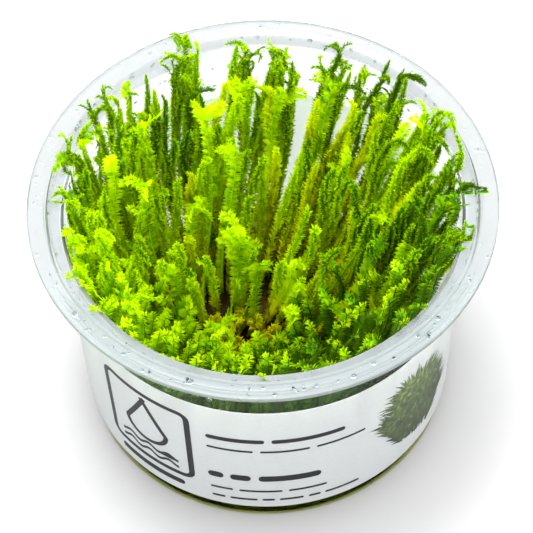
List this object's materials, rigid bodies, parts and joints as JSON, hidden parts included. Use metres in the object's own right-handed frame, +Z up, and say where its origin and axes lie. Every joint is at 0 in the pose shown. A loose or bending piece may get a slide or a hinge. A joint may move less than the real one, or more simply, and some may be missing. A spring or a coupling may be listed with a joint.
{
  "type": "cup of aquarium moss",
  "caption": "Clear round plastic cup with a flanged rim and a wrapped label, holding a fan of feathery green aquarium moss that grows from a low layer of dark gel.",
  "frame": {"origin": "centre of the cup's flat base, on the surface that it stands on", "axes": "+Z points up out of the cup's mouth; +Y points to the back, where the moss is tallest; the front of the label faces -Y"},
  "size_m": [0.09, 0.09, 0.0629],
  "materials": {
    "clear_plastic": "clear, thin, slightly milky moulded plastic with drops of water on it",
    "label_film": "smooth satin printed film, pale grey",
    "dark_gel": "wet, dark olive brown, glossy",
    "moss_leaf": "fine overlapping leaves, translucent, satin, bright yellow green at the tips and dark green below"
  },
  "bodies": {
    "root": {"cup": "clear_plastic", "label": "label_film", "growing_gel": "dark_gel", "tuft_heart_01": "moss_leaf", "tuft_heart_02": "moss_leaf", "tuft_heart_03": "moss_leaf", "tuft_heart_04": "moss_leaf", "tuft_middle_01": "moss_leaf", "tuft_middle_02": "moss_leaf", "tuft_middle_03": "moss_leaf", "tuft_middle_04": "moss_leaf", "tuft_middle_05": "moss_leaf", "tuft_middle_06": "moss_leaf", "tuft_middle_07": "moss_leaf", "tuft_middle_08": "moss_leaf", "tuft_middle_09": "moss_leaf", "tuft_middle_10": "moss_leaf", "tuft_middle_11": "moss_leaf", "tuft_rim_01": "moss_leaf", "tuft_rim_02": "moss_leaf", "tuft_rim_03": "moss_leaf", "tuft_rim_04": "moss_leaf", "tuft_rim_05": "moss_leaf", "tuft_rim_06": "moss_leaf", "tuft_rim_07": "moss_leaf", "tuft_rim_08": "moss_leaf", "tuft_rim_09": "moss_leaf", "tuft_rim_10": "moss_leaf", "tuft_rim_11": "moss_leaf", "tuft_rim_12": "moss_leaf", "tuft_rim_13": "moss_leaf", "tuft_rim_14": "moss_leaf", "tuft_rim_15": "moss_leaf", "tuft_rim_16": "moss_leaf", "tuft_rim_17": "moss_leaf", "tuft_rim_18": "moss_leaf", "tuft_rim_19": "moss_leaf", "tuft_rim_20": "moss_leaf"}
  },
  "joints": []
}
